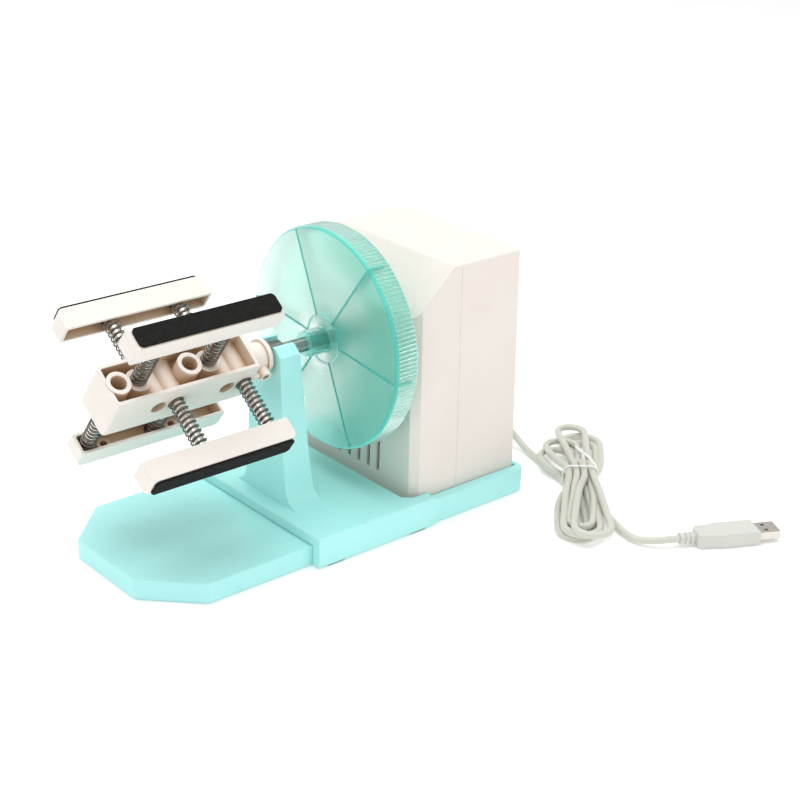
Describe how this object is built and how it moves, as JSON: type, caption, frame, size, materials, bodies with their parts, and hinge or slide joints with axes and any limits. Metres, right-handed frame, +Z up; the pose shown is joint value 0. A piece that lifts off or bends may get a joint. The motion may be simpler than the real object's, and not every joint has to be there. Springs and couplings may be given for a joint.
{
  "type": "cup turner",
  "caption": "Small motorised cup turner: a housed motor turns a wheel and a long chuck with sprung padded grip bars over a sliding tray.",
  "frame": {"origin": "under the middle of the object's length and width, on the surface it stands on; the cord and plug are left out of the middle", "axes": "+X along the spindle towards the motor, -Y to the side the lead's plug lies on, +Z up"},
  "size_m": [0.331, 0.2572, 0.165],
  "materials": {
    "aqua_plastic": "smooth moulded aqua",
    "cream_plastic": "satin moulded ivory",
    "clear_teal_plastic": "translucent teal",
    "steel": "ground",
    "spring_steel": "drawn wire",
    "screw_steel": "zinc plated",
    "black_rubber": "foam rubber",
    "bush_steel": "dark sintered",
    "bronze": "sintered bronze",
    "white_acetal": "moulded",
    "board_green": "solder mask",
    "chip_black": "moulded",
    "cable_grey": "soft vinyl",
    "white_plastic": "moulded",
    "plug_metal": "nickel plated",
    "contact_gold": "gold flash"
  },
  "bodies": {
    "base": {"base_sleeve": "aqua_plastic", "rear_base": "aqua_plastic", "base_feet": "black_rubber", "front_housing": "cream_plastic", "rear_housing": "cream_plastic", "housing_screws": "screw_steel", "base_screws": "screw_steel", "cradle_bush": "bush_steel", "front_bearing": "bronze", "rear_bearing": "bronze", "idler_pin": "steel", "gear_plate": "steel", "plate_screws": "screw_steel", "motor": "steel", "circuit_board": "board_green", "board_parts": "chip_black", "cord_gland": "cable_grey", "cord_lead": "cable_grey", "cord_hank": "cable_grey", "twist_tie": "white_plastic", "cord_tail": "cable_grey", "plug_body": "cable_grey", "plug_shell": "plug_metal", "plug_tongue": "white_plastic", "plug_contacts": "contact_gold"},
    "tray": {"slide_tray": "aqua_plastic", "tray_feet": "black_rubber"},
    "spindle": {"spindle_shaft": "steel", "drive_wheel": "clear_teal_plastic", "hub_grub_screw": "screw_steel", "spindle_gear": "white_acetal", "chuck_block": "cream_plastic", "chuck_grub_screw": "screw_steel", "bar_1_spring_front": "spring_steel", "bar_1_spring_back": "spring_steel", "bar_2_spring_front": "spring_steel", "bar_2_spring_back": "spring_steel", "bar_3_spring_front": "spring_steel", "bar_3_spring_back": "spring_steel", "bar_4_spring_front": "spring_steel", "bar_4_spring_back": "spring_steel"},
    "idler": {"idler_gear": "white_acetal"},
    "rotor": {"motor_pinion": "white_acetal"},
    "bar_1": {"grip_bar_1": "cream_plastic", "grip_pad_1": "black_rubber", "bar_1_rods": "steel", "bar_1_rod_screws": "screw_steel"},
    "bar_2": {"grip_bar_2": "cream_plastic", "grip_pad_2": "black_rubber", "bar_2_rods": "steel", "bar_2_rod_screws": "screw_steel"},
    "bar_3": {"grip_bar_3": "cream_plastic", "grip_pad_3": "black_rubber", "bar_3_rods": "steel", "bar_3_rod_screws": "screw_steel"},
    "bar_4": {"grip_bar_4": "cream_plastic", "grip_pad_4": "black_rubber", "bar_4_rods": "steel", "bar_4_rod_screws": "screw_steel"}
  },
  "joints": [
    {"name": "tray_slide", "type": "slide", "parent": "base", "child": "tray", "axis": [1, 0, 0], "range_m": [0, 0.04]},
    {"name": "spindle_spin", "type": "hinge", "parent": "base", "child": "spindle", "pos_m": [0, 0, 0.1015], "axis": [1, 0, 0], "continuous": true},
    {"name": "idler_spin", "type": "hinge", "parent": "base", "child": "idler", "pos_m": [0, 0, 0.0775], "axis": [1, 0, 0], "continuous": true},
    {"name": "rotor_spin", "type": "hinge", "parent": "base", "child": "rotor", "pos_m": [0, 0, 0.0535], "axis": [1, 0, 0], "continuous": true},
    {"name": "bar_1_slide", "type": "slide", "parent": "spindle", "child": "bar_1", "axis": [0, 0.5948, -0.8039], "range_m": [0, 0.016], "stiffness_N_per_m": 500, "springref_m": -0.006, "deforming": ["bar_1_spring_front", "bar_1_spring_back"]},
    {"name": "bar_2_slide", "type": "slide", "parent": "spindle", "child": "bar_2", "axis": [0, -0.8039, -0.5948], "range_m": [0, 0.016], "stiffness_N_per_m": 500, "springref_m": -0.006, "deforming": ["bar_2_spring_front", "bar_2_spring_back"]},
    {"name": "bar_3_slide", "type": "slide", "parent": "spindle", "child": "bar_3", "axis": [0, 0.8039, 0.5948], "range_m": [0, 0.016], "stiffness_N_per_m": 500, "springref_m": -0.006, "deforming": ["bar_3_spring_front", "bar_3_spring_back"]},
    {"name": "bar_4_slide", "type": "slide", "parent": "spindle", "child": "bar_4", "axis": [0, -0.5948, 0.8039], "range_m": [0, 0.016], "stiffness_N_per_m": 500, "springref_m": -0.006, "deforming": ["bar_4_spring_front", "bar_4_spring_back"]}
  ],
  "couplings": [
    {"joint": "idler_spin", "follows": "spindle_spin", "ratio": -3},
    {"joint": "rotor_spin", "follows": "spindle_spin", "ratio": 9}
  ]
}
